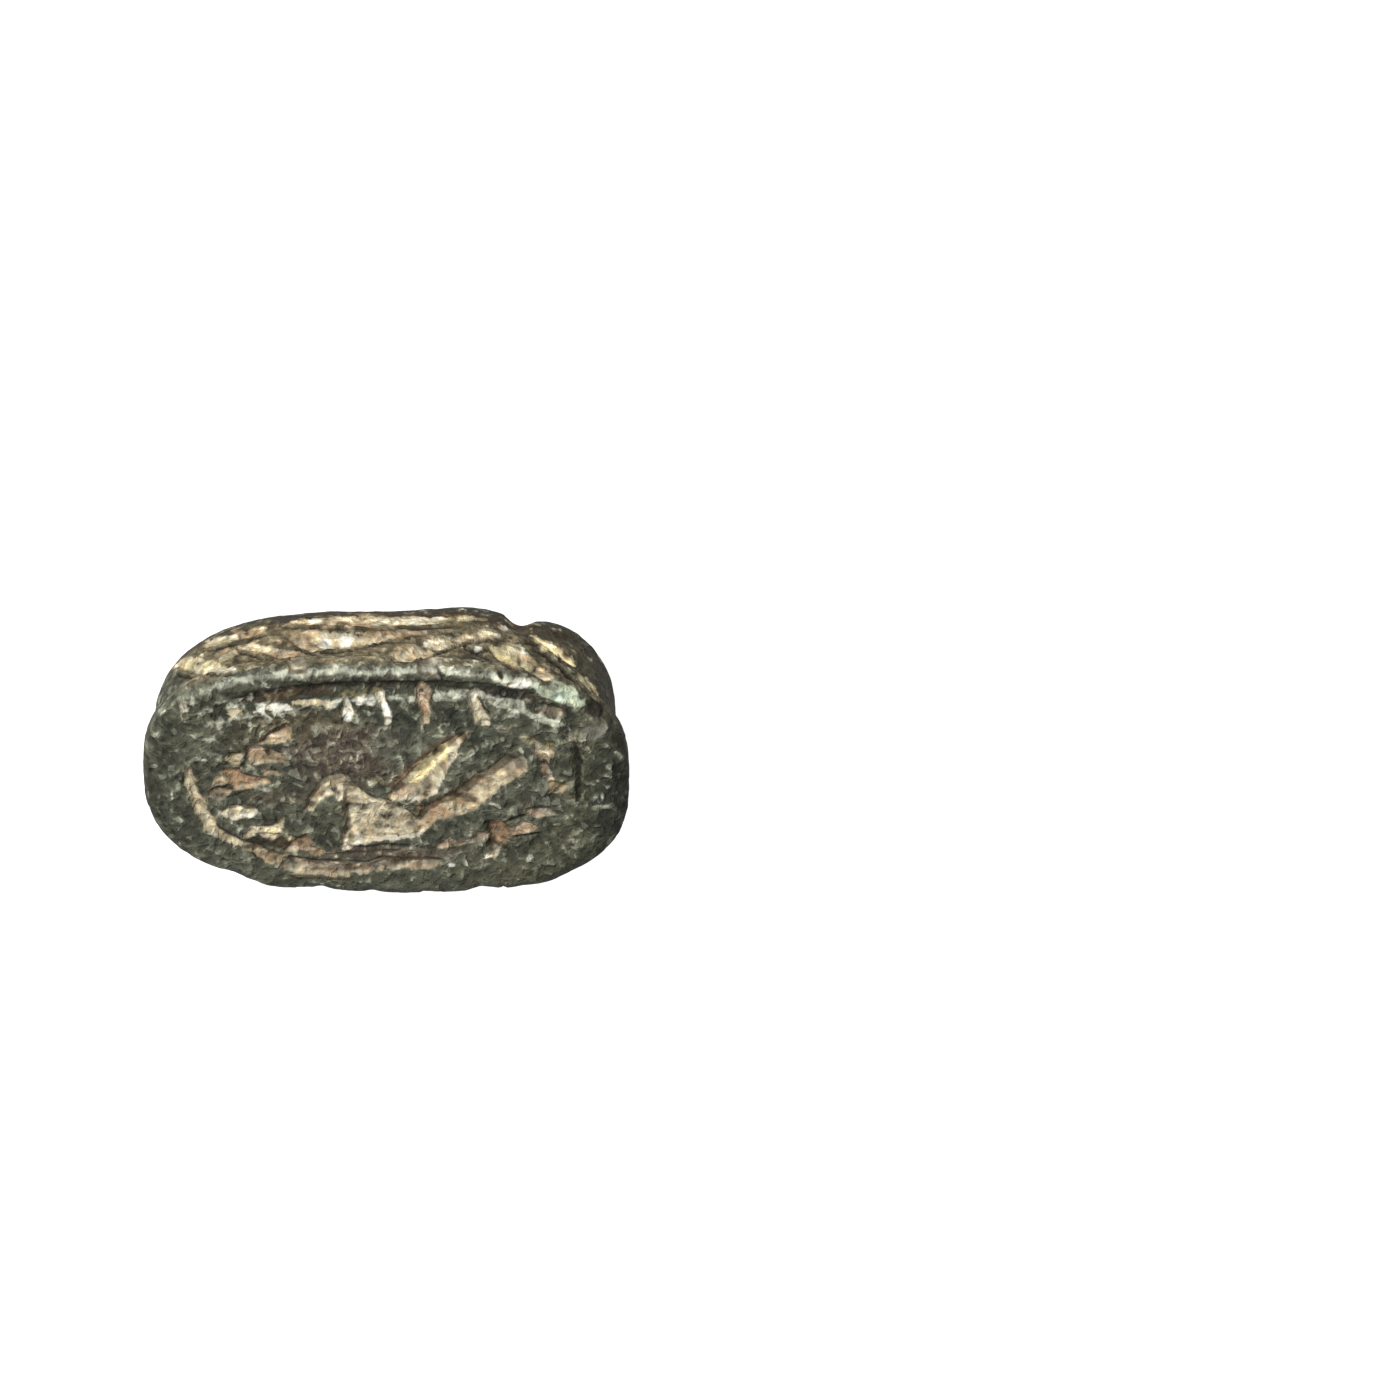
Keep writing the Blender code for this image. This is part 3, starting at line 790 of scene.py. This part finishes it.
def carve_border(carving, face, spots):
    """The wide groove along the near side of the seal field, painted dark partly as the near rim's
    shadow in it, with a pale painted highlight on the lip inside it and painted shade just inside
    the lip.
    """
    distance = near_line(spots, border_route())[0]
    near = (1 - ease(spots[:, 1], -3.9, -2.9)) * face
    half = 0.43 * (1 + 0.25 * carving.blots)
    carving.sink(bowl(distance / half / 1.15, 1.5) * 0.28 * near)
    core = ease(distance, half * 1.2, half * 0.5) * near
    # The peat tint and dark streaks stand partly for the near rim's shadow in the groove and partly
    # for its dark earth; the brown and mauve streaks are earth.
    carving.tint(core * 0.95, "peat")
    carving.dapple(core, -carving.streaks, -0.1, 0.3, 0.6, "dark")
    carving.dapple(core, carving.streaks, 0.20, 0.5, 0.5, "brown")
    mauve = core * ease(-spots[:, 0], 3.6, 4.8)
    carving.dapple(mauve, carving.streaks, -0.1, 0.3, 0.5, "mauve")

    distance, half, place, right = wide_line(spots, LIP)
    half = half * (1 + 0.6 * carving.blots)
    ends = tips(place, 0.04) * face
    inner = -right - half
    carving.sink(ease(inner, -0.06, 0.10) * (1 - ease(inner, 0.5, 1.9)) * ends * 0.15)
    # The lip's crest is cleared of earth and painted pale as a highlight.
    crest = ease(distance - half, 0.08, -0.10) * ends
    carving.amount = carving.amount * (1 - crest)
    carving.lay_highlight(crest * (0.75 + 0.35 * ease(inner, -0.20, -0.04) + 0.6 * carving.gaps))
    # Painted shade in the deep tint just inside the lip.
    under = ease(inner, -0.02, 0.12) * (1 - ease(inner, 0.25, 0.7)) * ends
    carving.tint(under * 0.9, "deep")


def carve_foot(carving, face, spots):
    """The shallow streaked line of earth from the rear of the field round its foot, with painted
    shade along its inner edge and, along its middle, a painted highlight on its outer edge and a
    painted shadow beyond it.
    """
    distance, half, place, right = wide_line(spots, FOOT)
    x = spots[:, 0]
    half = half * (1 + 0.3 * carving.blots)
    ends = tips(place, 0.03) * face
    carving.sink(bowl(distance / half, 0.6) * 0.17 * ends)
    core = ease(distance - half, 0.05, -0.05) * ends
    rear = core * ease(x, 4.6, 5.6)
    along = np.stack([place * 4.0, right, np.zeros(len(right))], -1)
    streaks = rough(along, 0.20, 117, 2)
    carving.paint(core * 0.95, "mauve")
    carving.dapple(core, carving.blots, 0.0, 0.4, 0.7, "orange")
    carving.dapple(rear, carving.blots, -0.6, -0.1, 0.8, "cream")
    carving.dapple(rear, carving.flecks, 0.1, 0.4, 0.5, "green")
    carving.dapple(core, streaks, 0.10, 0.45, 0.7, "cream")
    carving.dapple(core, -streaks, 0.05, 0.40, 0.8, "brown")
    # Along the middle: a cream painted highlight on the lit outer edge and an umber painted shadow
    # just beyond it.
    middle = ease(x, -2.2, -1.0) * (1 - ease(x, 3.4, 4.2)) * face
    outer = ease(np.abs(right - half * 0.85), 0.14, 0.04) * middle
    carving.dapple(outer, x, 0.2, 1.0, 0.6, "cream")
    below = ease(np.abs(right - half - 0.16), 0.14, 0.04) * middle
    carving.dapple(below, x, 0.8, 1.6, 0.8, "umber")
    # Umber painted shade along the inner edge, on the side toward the light.
    carving.dapple(ends, np.abs(right + half + 0.02), 0.16, 0.05, 0.85, "umber")


def carve_forms(carving, there, chart, way, forms, paint=1.0, whole=0.38):
    """Sinks outlined forms, steep toward the light and shallow away from it, and fills them with
    earth; paints umber shade along the edge toward the light and a pale highlight along the edge
    away from it.
    """
    for first, second, depth, outline in forms:
        low, high = outline.min(axis=0) - 0.5, outline.max(axis=0) + 0.5
        close = there & ((chart > low) & (chart < high)).all(axis=1)
        spots = chart[close]
        inside = inside_outline(spots, outline)
        reach = min(SHADE_REACH, 0.5 * inside.max())
        lit = inside_outline(spots + way * reach, outline)
        away = inside_outline(spots - way * 0.45, outline)
        edge = inside_outline(spots - way * reach * 0.9, outline)
        floor, core, shade, glint = np.zeros((4, len(chart)))
        floor[close] = ease(inside, -0.08, 0.06) * (0.45 + 0.55 * ease(away, -0.25, 0.15))
        core[close] = ease(inside, -0.10, 0.0)
        # The shade mask is painted shade on the edge toward the light; the glint mask is a painted
        # highlight on the edge away from it.
        shade[close] = ease(-lit, -0.02, 0.08)
        glint[close] = ease(-edge, -0.02, 0.08)
        carving.sink(floor * depth * (1 + 0.15 * carving.blots))
        carving.fill(core * 0.96 * paint, first, second, whole)
        # Painted highlight, white or cream, along the edge away from the light; then painted umber
        # shade along the edge toward it.
        gleam = "white" if first in ("white", "cream") else "cream"
        carving.dapple(core * glint, carving.flecks, -0.3, 0.1, 0.5 * paint, gleam)
        carving.paint(core * shade * 0.75 * paint, "umber")


def outlined(forms):
    """Forms of a table with their depths and outlines in millimetres."""
    return [(first, second, depth / HUNDREDTHS, np.reshape(outline, (-1, 2)) / HUNDREDTHS)
            for first, second, depth, *outline in forms]


def carve_lines(carving, there, chart, lines, paint=1.0):
    """Thin cuts, dark or light."""
    for earth, *sizes in lines:
        half, depth, *route = np.array(sizes) / HUNDREDTHS
        distance, place = near_line(chart, np.reshape(route, (-1, 2)))[:2]
        ends = 0.4 + 0.6 * tips(place, 0.15)
        reach = distance / (half * ends * (1 + 0.5 * carving.blots))
        carving.sink(bowl(reach) * depth * there)
        carving.dapple(there, reach, 1.3, 0.5, 0.85 * paint, earth)


def carve_field(carving, face, spots):
    """The falcon with raised wings, the short strokes and the lines of the seal field."""
    half = np.array((LENGTH / 2, WIDTH / 2))
    falcon = [(first, second, FALCON_DEPTH, np.reshape(shares, (-1, 2)) / THOUSANDTHS * half)
              for first, second, *shares in FALCON]
    carve_forms(carving, face, spots, FACE_LIGHT, outlined(FIELD_FORMS))
    carve_forms(carving, face, spots, FACE_LIGHT, falcon, whole=0.14)
    carve_lines(carving, face, spots, FIELD_LINES)


def carve_side(carving, side, paint):
    """The warm, streaked, cut and chipped long side."""
    chart = carving.chart()
    x, depth = chart.T
    there = (carving.points[:, 1] * side > 1.0) & (depth > 0.05)
    low = depth + 0.40 * carving.blots
    band = ease(depth, 0.35, 0.7) * (1 - ease(low, 3.5, 4.3)) * there
    band = band * (1 - ease(x, 6.9, 7.9))
    carving.tint(band * 0.9, "warm")
    carving.tint(ease(depth, 3.1, 3.5) * (1 - ease(low, 4.1, 5.0)) * there, "bark")
    band = band * (1 - 0.75 * ease(-x, 6.2, 7.2)) * paint
    carving.dapple(band, -carving.streaks, 0.05, 0.4, 0.6, "umber")
    carving.dapple(band, -carving.streaks, 0.35, 0.6, 0.55, "dark")
    carving.dapple(band, carving.blots, 0.15, 0.5, 0.4, "olive")
    carving.dapple(band, carving.streaks, 0.18, 0.45, 0.65, "tan")
    carve_forms(carving, there, chart, SIDE_LIGHT, outlined(SIDE_FORMS), paint)
    carve_lines(carving, there, chart, SIDE_LINES, paint)


def lay_patches(carving, there, places, patches):
    """Patches of earth and of tinted stone."""
    for colour, turn, *sizes in patches:
        x, y, half_x, half_y, amount, depth = np.array(sizes) / HUNDREDTHS
        off_x, off_y = (places - (x, y)).T
        cos, sin = math.cos(math.radians(turn)), math.sin(math.radians(turn))
        along = (off_x * cos + off_y * sin) / half_x
        across = (off_y * cos - off_x * sin) / half_y
        soft = 0.5 if colour in STONES else 0.25
        reach = np.sqrt(along ** 2 + across ** 2) + 0.35 * carving.gaps
        mask = ease(reach, 1 + soft, 1 - soft) * there
        carving.sink(mask * depth)
        if colour in STONES:
            carving.tint(mask * amount, colour)
        else:
            carving.paint(mask * amount, colour.split("-")[0])
            if not colour.endswith("solid"):
                carving.dapple(mask, -carving.gaps, 0.15, 0.45, 0.6, "umber")


def paint_rim_highlight(carving):
    """Paints a pale highlight along the ridge of the near rim."""
    x, depth = carving.chart().T
    places, middles, amounts = RIM_HIGHLIGHT
    middle = np.interp(x, places, middles) + 0.06 * carving.blots
    ridge = ease(depth, middle - 0.14, middle) * (1 - ease(depth, middle + 0.03, middle + 0.28))
    ridge = ridge * np.interp(x, places, amounts) * (carving.points[:, 1] < -2.0)
    carving.lay_highlight(ridge * (0.92 + 0.8 * carving.gaps) * (1 - carving.amount))


def carve_groove(carving, route, half, depth, power, core, amount):
    """A groove across or along the back with a brown core."""
    distance = near_line(carving.points, [back_point(x, y) for x, y in route])[0]
    carving.sink(bowl(distance / half, power) * depth)
    carving.paint(ease(distance, half, core) * amount, "brown")


def carve_back(carving):
    """The dark back with the neck, the front of the wing cases and the line between them."""
    depth = carving.chart()[:, 1] + 0.40 * carving.blots
    carving.tint(ease(depth, 3.7, 4.5) * 0.85, "deep")
    for place, lean, reach, sizes in BACK_GROOVES:
        turns = np.linspace(-reach, 0.96, 25) * math.pi / 2
        along = [(place - lean * math.cos(turn)) * LENGTH / 2 for turn in turns]
        route = [(x, body_edge(x) * math.sin(turn)) for x, turn in zip(along, turns)]
        carve_groove(carving, route, *sizes)
    middle = np.linspace(CASE_LINE - 0.06, 0.9, 40) * LENGTH / 2
    carve_groove(carving, [(x, 0.0) for x in middle], *CASE_GROOVE)


def store(mesh, name, values):
    """Keeps a value, or a colour and its amount, for each point of a mesh."""
    values = np.asarray(values, np.float32)
    kind, key = ("FLOAT", "value") if values.ndim == 1 else ("FLOAT_COLOR", "color")
    mesh.attributes.new(name, kind, "POINT").data.foreach_set(key, values.ravel())


def shifts(points, ways, coarse, fine, seed):
    """Small random shifts along some ways, made of coarse bumps and of fine ones."""
    return np.stack([noise(points, coarse, seed + way) * COARSE_SHIFT
                     + noise(points, fine, seed + ways + way) * FINE_SHIFT
                     for way in range(ways)], -1)


def carved_scarab():
    """The whole stone: formed with worn margins, carved, marked with earth, and painted with shade
    and highlights.
    """
    stone = stone_block()
    mesh = stone.data
    points = form_points(read(mesh.vertices, "co", 3))
    normals = place_points(mesh, points)
    depth = HEIGHT - points[:, 2]
    face = (depth < RIM_ROUND) & (normals[:, 2] > 0.3)

    spots = points[:, :2] + shifts(points, 2, 0.45, 0.16, 11)
    carving = Carving(points)
    carve_border(carving, face, spots)
    carve_foot(carving, face, spots)
    carve_field(carving, face, spots)
    carving.points = points + shifts(points, 3, 0.5, 0.2, 15)
    carve_side(carving, -1.0, 1.0)
    carve_side(carving, 1.0, 0.6)
    carve_back(carving)
    chart = carving.chart()
    lay_patches(carving, chart[:, 1] < 0.7, spots, FACE_PATCHES)
    near = (carving.points[:, 1] < -1.0) & (chart[:, 1] > 0.1)
    lay_patches(carving, near, chart, SIDE_PATCHES)
    carving.points = points
    paint_rim_highlight(carving)

    swell = 0.030 * rough(points, 1.6, 21) + 0.026 * rough(points, 0.4, 31)
    swell += 0.014 * carving.flecks
    cut = np.maximum(carving.cut - swell, -0.05) - 0.015
    cut = cut * np.where(points[:, 2] < 0.01, 0.0, 0.3 + 0.7 * ease(points[:, 2], 0.0, 0.25))
    points = points - normals * cut[:, None]
    normals = place_points(mesh, points)

    hollow = hollows(points, normals, read(mesh.edges, "vertices", 2, np.int32))
    store(mesh, "hollow", np.clip(hollow, 0.0, 1.0))
    store(mesh, "ridge", np.clip(-hollow, 0.0, 1.0))
    brow = ease(depth, 3.05, 3.35) * (1 - ease(depth, 4.2, 5.2)) * (points[:, 1] < 0.0)
    mottle = (1 - 0.7 * brow) * (1 - 0.65 * ease(points[:, 1], 3.2, 4.4))
    mottle = mottle * (1 - 0.6 * ease(-points[:, 0], 7.2, 8.0))
    store(mesh, "stone_tint", np.column_stack([carving.stone, mottle]))
    store(mesh, "earth", np.column_stack([carving.earth, carving.amount]))
    store(mesh, "painted_highlight", carving.painted_highlight)
    return stone


def drill_bore(stone):
    """Cuts the lengthwise string hole and darkens its wall."""
    bpy.ops.object.select_all(action="DESELECT")
    bpy.ops.mesh.primitive_cylinder_add(
        vertices=BORE_SIDES, radius=BORE_DIAMETER / 2 / MM, depth=LENGTH * 1.2 / MM,
        location=(0.0, 0.0, (HEIGHT - BORE_DEPTH) / MM), rotation=(0.0, math.pi / 2, 0.0))
    drill = bpy.context.active_object
    bpy.ops.object.transform_apply(location=True, rotation=True, scale=True)
    select_only(stone)
    cut = stone.modifiers.new("string hole", "BOOLEAN")
    cut.operation = "DIFFERENCE"
    cut.solver = "EXACT"
    cut.object = drill
    bpy.ops.object.modifier_apply(modifier="string hole")
    bpy.data.objects.remove(drill)
    points = read(stone.data.vertices, "co", 3) * MM
    off = np.hypot(points[:, 1], points[:, 2] - HEIGHT + BORE_DEPTH)
    wall = off < BORE_DIAMETER / 2 + BORE_MARGIN
    for name, value in (("hollow", (1.0,)), ("ridge", (0.0,)), ("painted_highlight", (0.0,)),
                        ("stone_tint", (*STONES["deep"], 1.0)),
                        ("earth", (*EARTHS["umber"], 0.5))):
        data = stone.data.attributes[name].data
        key = "value" if len(value) == 1 else "color"
        values = read(data, key, len(value), np.float32)
        values[wall] = value
        data.foreach_set(key, values.ravel())


def feed(tree, node, sockets):
    """Links inputs of a node to sockets, or sets them to numbers or colours."""
    for name, value in sockets.items():
        if isinstance(value, bpy.types.NodeSocket):
            tree.links.new(value, node.inputs[name])
        else:
            node.inputs[name].default_value = value


def add_node(tree, kind, sockets, **settings):
    """The outputs of a new shader node with its inputs and settings."""
    node = tree.nodes.new("ShaderNode" + kind)
    for name, value in settings.items():
        setattr(node, name, value)
    feed(tree, node, sockets)
    return node.outputs


def new_material(name):
    """A new material, its node tree and its shader."""
    material = bpy.data.materials.new(name)
    material.use_nodes = True
    return material, material.node_tree, material.node_tree.nodes["Principled BSDF"]


def colour_mix(tree, factor, first, second, blend="MIX"):
    """Mixes two colours."""
    return add_node(tree, "Mix", {0: factor, 6: first, 7: second},
                    data_type="RGBA", blend_type=blend)[2]


def maths(tree, operation, first, second=0.0, clamp=False):
    """The result of one kind of sum with two values."""
    return add_node(tree, "Math", {0: first, 1: second}, operation=operation, use_clamp=clamp)[0]


def times(tree, first, second, clamp=False):
    """The product of two values."""
    return maths(tree, "MULTIPLY", first, second, clamp)


def plus(tree, first, second, clamp=False):
    """Two values added up."""
    return maths(tree, "ADD", first, second, clamp)


def spread(tree, value, low, high, start=0.0, end=1.0):
    """A value stretched from one range to another."""
    return add_node(tree, "MapRange", {
        "Value": value, "From Min": low, "From Max": high, "To Min": start, "To Max": end,
    }, interpolation_type="SMOOTHSTEP")["Result"]


def noise_value(tree, where, scale, detail, roughness, distortion):
    """A noise pattern over the stone."""
    return add_node(tree, "TexNoise", {
        "Vector": where, "Scale": scale, "Detail": detail, "Roughness": roughness,
        "Distortion": distortion,
    })["Fac"]


def darker(tree, colour, share):
    """A colour with its brightness changed by a share."""
    return add_node(tree, "VectorMath", {0: colour, "Scale": share}, operation="SCALE")[0]


def stretched(tree, where, shares):
    """Places scaled by a share along each way."""
    return add_node(tree, "VectorMath", {0: where, 1: shares}, operation="MULTIPLY")[0]


def strands(tree, where, scale, distortion):
    """Thin curly threads over the stone, from 0 between them to 1 on them."""
    value = noise_value(tree, where, scale, 1.0, 0.5, distortion)
    off = maths(tree, "ABSOLUTE", maths(tree, "SUBTRACT", value, 0.5))
    return spread(tree, off, 0.11, 0.04)


def crumbs(tree, where, scale):
    """Two random values that change from one small rounded crumb of the surface to the next."""
    push = add_node(tree, "TexNoise", {"Vector": where, "Scale": 1700.0, "Detail": 1.0})["Color"]
    pushed = add_node(tree, "VectorMath", {0: where, 1: darker(tree, push, 0.0005)},
                      operation="ADD")[0]
    cells = add_node(tree, "TexVoronoi", {"Vector": pushed, "Scale": scale, "Smoothness": 0.5},
                     feature="SMOOTH_F1")["Color"]
    parts = add_node(tree, "SeparateColor", {"Color": cells})
    return parts["Red"], parts["Green"]


def swing(tree, parts):
    """Patterns added up as swings about zero, each with its own weight."""
    total = 0.0
    for value, weight in parts:
        total = plus(tree, times(tree, maths(tree, "SUBTRACT", value, 0.5), weight), total)
    return total


def swung(tree, colour, strength, turn):
    """A colour made lighter and darker by a swing."""
    return darker(tree, colour, maths(tree, "POWER", strength, turn))


def stone_material():
    """Dark grey green mottled stone with earth in its cuts."""
    material, tree, shader = new_material("worn_dark_stone")
    place = add_node(tree, "TexCoord", {})["Object"]
    where = stretched(tree, place, (1.0, 0.74, 1.0))
    stone, earth, ridge, hollow, worn = (
        add_node(tree, "Attribute", {}, attribute_name=name)
        for name in ("stone_tint", "earth", "ridge", "hollow", "painted_highlight"))
    tint, mottle = stone["Color"], stone["Alpha"]

    patch = noise_value(tree, where, 1300.0, 2.0, 0.5, 0.3)
    grain = noise_value(tree, where, 2600.0, 3.0, 0.62, 0.3)
    crumb, hue = crumbs(tree, where, 4600.0)
    second = times(tree, strands(tree, where, 1700.0, 1.5), 0.75)
    thread = maths(tree, "MAXIMUM", strands(tree, where, 1200.0, 1.3), second)
    thread = times(tree, thread, spread(tree, patch, 0.40, 0.58, 0.35, 1.0))

    turn = swing(tree, ((crumb, 0.6), (grain, 2.0), (patch, 1.3)))
    cool = colour_mix(tree, spread(tree, hue, 0.3, 0.7), (0.97, 1.0, 1.04, 1), (1.05, 1.0, 0.94, 1))
    toned = colour_mix(tree, 1.0, tint, cool, "MULTIPLY")
    base = swung(tree, darker(tree, toned, 0.62), 7.0, times(tree, turn, mottle))
    base = colour_mix(tree, times(tree, thread, 0.45), base, darker(tree, tint, 1.45))
    fleck = spread(tree, plus(tree, crumb, times(tree, grain, 0.9)), 1.20, 1.34)
    fleck = times(tree, fleck, times(tree, mottle, 0.35))
    base = colour_mix(tree, fleck, base, (*FLECKS, 1))

    rubbed = spread(tree, ridge["Fac"], 0.25, 0.9)
    rubbed = times(tree, rubbed, spread(tree, patch, 0.35, 0.6), True)
    # The worn node reads the painted highlights of the near rim and lip; with the mottling they go
    # pale toward chalk, as rubbed ridges do at a quarter.
    pale = spread(tree, plus(tree, worn["Fac"], times(tree, turn, 0.7)), 0.12, 0.85, 0.0, 0.95)
    pale = maths(tree, "MAXIMUM", times(tree, rubbed, 0.25), pale)
    base = colour_mix(tree, pale, base, swung(tree, CHALK, 3.0, turn))
    dusty = spread(tree, hollow["Fac"], 0.2, 0.9)
    dusty = times(tree, dusty, spread(tree, grain, 0.42, 0.58), True)
    base = colour_mix(tree, times(tree, dusty, 0.4), base, (*DUST, 1))

    gap = spread(tree, plus(tree, turn, earth["Alpha"]), 0.15, 0.65)
    amount = times(tree, earth["Alpha"], gap, True)
    laid = colour_mix(tree, 1.0, earth["Color"], cool, "MULTIPLY")
    drawn = noise_value(tree, stretched(tree, place, (0.25, 1.0, 1.3)), 2600.0, 3.0, 0.6, 0.3)
    height = add_node(tree, "SeparateXYZ", {0: place})["Z"]
    on_side = spread(tree, height, 0.0056, 0.0052)
    turned = times(tree, maths(tree, "SUBTRACT", drawn, 0.5), on_side)
    turned = plus(tree, times(tree, turned, 2.2), turn)
    laid = swung(tree, darker(tree, laid, 0.72), 3.0, turned)
    gloss = plus(tree, spread(tree, patch, 0.3, 0.7, 0.40, 0.60), times(tree, amount, 0.3), True)
    bumps = plus(tree, turn, times(tree, thread, 0.3))
    bump = add_node(tree, "Bump", {"Height": bumps, "Strength": 0.8, "Distance": 0.0001})
    feed(tree, shader, {
        "Base Color": colour_mix(tree, amount, base, laid), "Roughness": gloss,
        "Specular IOR Level": 0.25, "Normal": bump["Normal"],
    })
    return material


def floor_plane():
    """The white sheet that the scarab lies on."""
    bpy.ops.object.select_all(action="DESELECT")
    bpy.ops.mesh.primitive_plane_add(size=4.0, location=(0.0, 0.0, 0.0))
    sheet = bpy.context.active_object
    sheet.name = "white_sheet"
    material, tree, shader = new_material("white_sheet")
    feed(tree, shader, {
        "Base Color": (0.5, 0.5, 0.5, 1.0), "Roughness": 0.9, "Specular IOR Level": 0.0,
        "Emission Color": WHITE,
        "Emission Strength": add_node(tree, "LightPath", {})["Is Camera Ray"],
    })
    sheet.data.materials.append(material)


def add_light(name, azimuth, elevation, distance, size, power, colour):
    """An area light that looks at the scarab."""
    around = math.radians(azimuth)
    above = math.radians(elevation)
    flat = math.cos(above)
    away = Vector((math.sin(around) * flat, -math.cos(around) * flat, math.sin(above)))
    data = bpy.data.lights.new(name, "AREA")
    data.shape = "DISK"
    data.size = size
    data.energy = power
    data.color = colour
    lamp = bpy.data.objects.new(name, data)
    bpy.context.scene.collection.objects.link(lamp)
    lamp.location = Vector((0.0, 0.0, HEIGHT / MM)) + away * distance
    lamp.rotation_mode = "QUATERNION"
    lamp.rotation_quaternion = away.to_track_quat("Z", "Y")


def picture_camera():
    """The camera over the near long side, rolled half a turn as the photograph is printed."""
    back = Vector((0.0, -math.cos(CAMERA_ELEVATION), math.sin(CAMERA_ELEVATION)))
    right = Vector((-1.0, 0.0, 0.0))
    up = back.cross(right)
    turned_right = right * math.cos(CAMERA_ROLL) + up * math.sin(CAMERA_ROLL)
    turned_up = up * math.cos(CAMERA_ROLL) - right * math.sin(CAMERA_ROLL)
    data = bpy.data.cameras.new("picture")
    data.sensor_width = CAMERA_SENSOR
    data.lens = CAMERA_SENSOR * CAMERA_DISTANCE / (PICTURE_WIDTH / PICTURE_SCALE / MM)
    data.clip_start = 0.01
    data.clip_end = 10.0
    camera = bpy.data.objects.new("picture", data)
    bpy.context.scene.collection.objects.link(camera)
    middle = Vector((0.0, AIM_OFFSET / MM, HEIGHT / MM))
    across = (PICTURE_WIDTH / 2 - PICTURE_SPOT[0]) / PICTURE_SCALE / MM
    rise = (PICTURE_SPOT[1] - PICTURE_WIDTH / 2) / PICTURE_SCALE / MM
    place = middle + back * CAMERA_DISTANCE + turned_right * across + turned_up * rise
    frame_turn = Matrix((turned_right, turned_up, back)).transposed().to_4x4()
    camera.matrix_world = Matrix.Translation(place) @ frame_turn
    bpy.context.scene.camera = camera


def light_scene():
    """Soft daylight from the near side over a white surround."""
    world = bpy.data.worlds.new("white_surround")
    world.use_nodes = True
    tree = world.node_tree
    seen = add_node(tree, "LightPath", {})["Is Camera Ray"]
    feed(tree, tree.nodes["Background"], {
        "Color": WHITE, "Strength": spread(tree, seen, 0.0, 1.0, SURROUND, 1.0),
    })
    bpy.context.scene.world = world
    for name, settings in LIGHTS.items():
        add_light(name, *settings)
    bpy.context.scene.view_settings.view_transform = "Standard"
    bpy.context.scene.view_settings.look = "None"


stone = carved_scarab()
drill_bore(stone)
stone.data.materials.append(stone_material())
select_only(stone)
bpy.ops.object.shade_smooth()
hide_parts("scarab")
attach(stone, "root")

floor_plane()
light_scene()
picture_camera()
